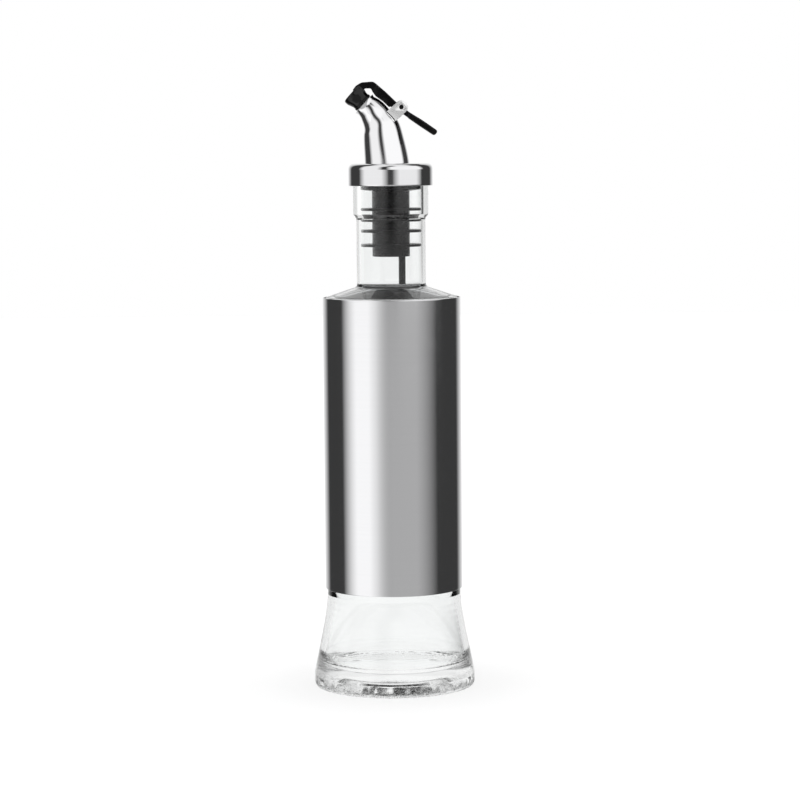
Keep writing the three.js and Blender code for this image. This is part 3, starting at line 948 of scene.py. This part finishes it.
def makeSpring():
    size = springSizes
    steps = round(size["turns"] * size["stepsPerTurn"])
    points = []
    for step in range(steps + 1):
        angle = math.pi + 2 * math.pi * step / size["stepsPerTurn"]
        across = size["width"] * (step / steps - 0.5)
        points.append(Vector((size["coil"] * math.cos(angle), across, size["coil"] * math.sin(angle))))
    longLeg = bracketSizes["webDistance"] - 2 * size["wire"]
    points.insert(0, points[0] + Vector((0, 0, size["shortLeg"])))
    points.append(points[-1] - Vector((longLeg, 0, 0)))
    placed = [atPivot @ lean @ (point * mm) for point in points]
    data = bpy.data.meshes.new("leverSpring")
    data.from_pydata(placed, [(i, i + 1) for i in range(len(placed) - 1)], [])
    piece = bpy.data.objects.new("leverSpring", data)
    scene.collection.objects.link(piece)
    tree, sockets = springTree()
    runShapeTree(piece, tree, sockets, {"Wire Radius": size["wire"] * mm})
    settle(piece, finishes["springWire"])
    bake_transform(piece)
    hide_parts("lever_spring")
    print("lever spring made")


# Outlines are (x, height, corner radius) from the pivot. The hood's are (radius, distance beyond the mouth).
leverSizes = {
    "arch": [(-22.4, 8, 0.6), (-20.9, 9.9, 1.5), (-18.4, 11.4, 3), (-12.8, 11.8, 3), (-7.1, 6.9, 6),
             (-2.3, 2.2, 6), (4.6, -3.1), (3.5, -5.3), (0.6, -3.2, 2), (-3.1, -1.2, 1), (-4.6, 0.2, 0.8),
             (-5.8, 0, 0.5), (-7.5, 1.7, 3), (-8.7, 2.8, 3), (-11.9, 5.1, 1), (-13.4, 7.2, 0.8),
             (-14, 8.6, 0.8), (-17.2, 8.6, 1.2), (-17.6, 5.6), (-20.5, 3.8)],
    "tail": [(3.8, -2.5), (9.6, -6.1, 12), (16.9, -11.2, 1.3), (15.1, -13.4, 1.3), (8.2, -8.8, 12),
             (3.1, -5.2)],
    "hood": [(0, 1.4), (4.5, 1.4), (4.5, 2.6, 1), (5.4, 5.3, 0.5), (5.4, 7.7, 1.8), (0, 7.7)],
    "archWidth": 6.8, "tailWidth": 8.6, "bossRadius": 2.4, "springWidth": 3.4, "springRoom": 2.75,
    "holeRadius": 1.4, "voxel": 0.2, "softness": 5,
}
sealSizes = {"radius": 4.7, "thickness": 1.25, "edge": 0.3, "segments": 96}


def atMouth():
    x, height, _, tilt = alongSpout()[-1]
    return Matrix.Translation((x * mm, 0, (spoutFoot + height) * mm)) @ Matrix.Rotation(tilt, 4, "Y")


def makeLever():
    size = leverSizes
    arch = slab(roundCorners(size["arch"], 8), size["archWidth"])
    tail = slab(roundCorners(size["tail"], 8), size["tailWidth"])
    for part in (arch, tail):
        part.data.transform(atPivot)
    hood = spin("hood", roundCorners(size["hood"], 8), smallSegments, plainMaterial(), closed=False)
    hood.data.transform(atMouth())
    boss = crossBar(size["bossRadius"], size["archWidth"], pivot)
    boolean(arch, [tail, hood, boss], "UNION")
    room = size["springRoom"]
    slot = slab(roundCorners([(0, room), (room, room, room), (room, -room, room), (-2 * room, -room),
                              (-2 * room, room)], 10), size["springWidth"])
    slot.data.transform(atPivot @ lean)
    hole = crossBar(size["holeRadius"], 2 * size["archWidth"], pivot)
    boolean(arch, [slot, hole], "DIFFERENCE")
    remesh = arch.modifiers.new("moulded", "REMESH")
    remesh.mode = "VOXEL"
    remesh.voxel_size = size["voxel"] * mm
    smooth = arch.modifiers.new("softEdges", "SMOOTH")
    smooth.factor = 0.5
    smooth.iterations = size["softness"]
    bakeModifiers(arch)
    settle(arch, finishes["leverBlack"], "pouringLever", 180)
    register(arch, "lid_lever", "black_plastic", "lever")
    print("lever made")


def makeSeal():
    size = sealSizes
    top = gap + size["thickness"]
    profile = roundCorners([(0, gap), (size["radius"], gap, size["edge"]),
                            (size["radius"], top, size["edge"]),
                            (0, top)], 5)
    piece = spin("mouthSeal", profile, size["segments"], finishes["siliconeBlack"], closed=False)
    piece.data.transform(atMouth())
    register(piece, "lid_lever", "black_silicone", "mouth_seal")
    print("mouth seal made")


placeCamera()
groups = {
    "handlingMarks": handlingMarksGroup(), "brushLines": brushLinesGroup(),
    "hairScratches": hairScratchesGroup(), "mouldGrain": mouldGrainGroup(),
}
finishes = buildFinishes()
placeFloor()
lightStudio()
makeGlass()
makeSleeve()
makePlug()
makeFins()
makeVent()
makeSpout()
makeCollar()
makeBracket()
makePin()
makeSpring()
makeLever()
makeSeal()
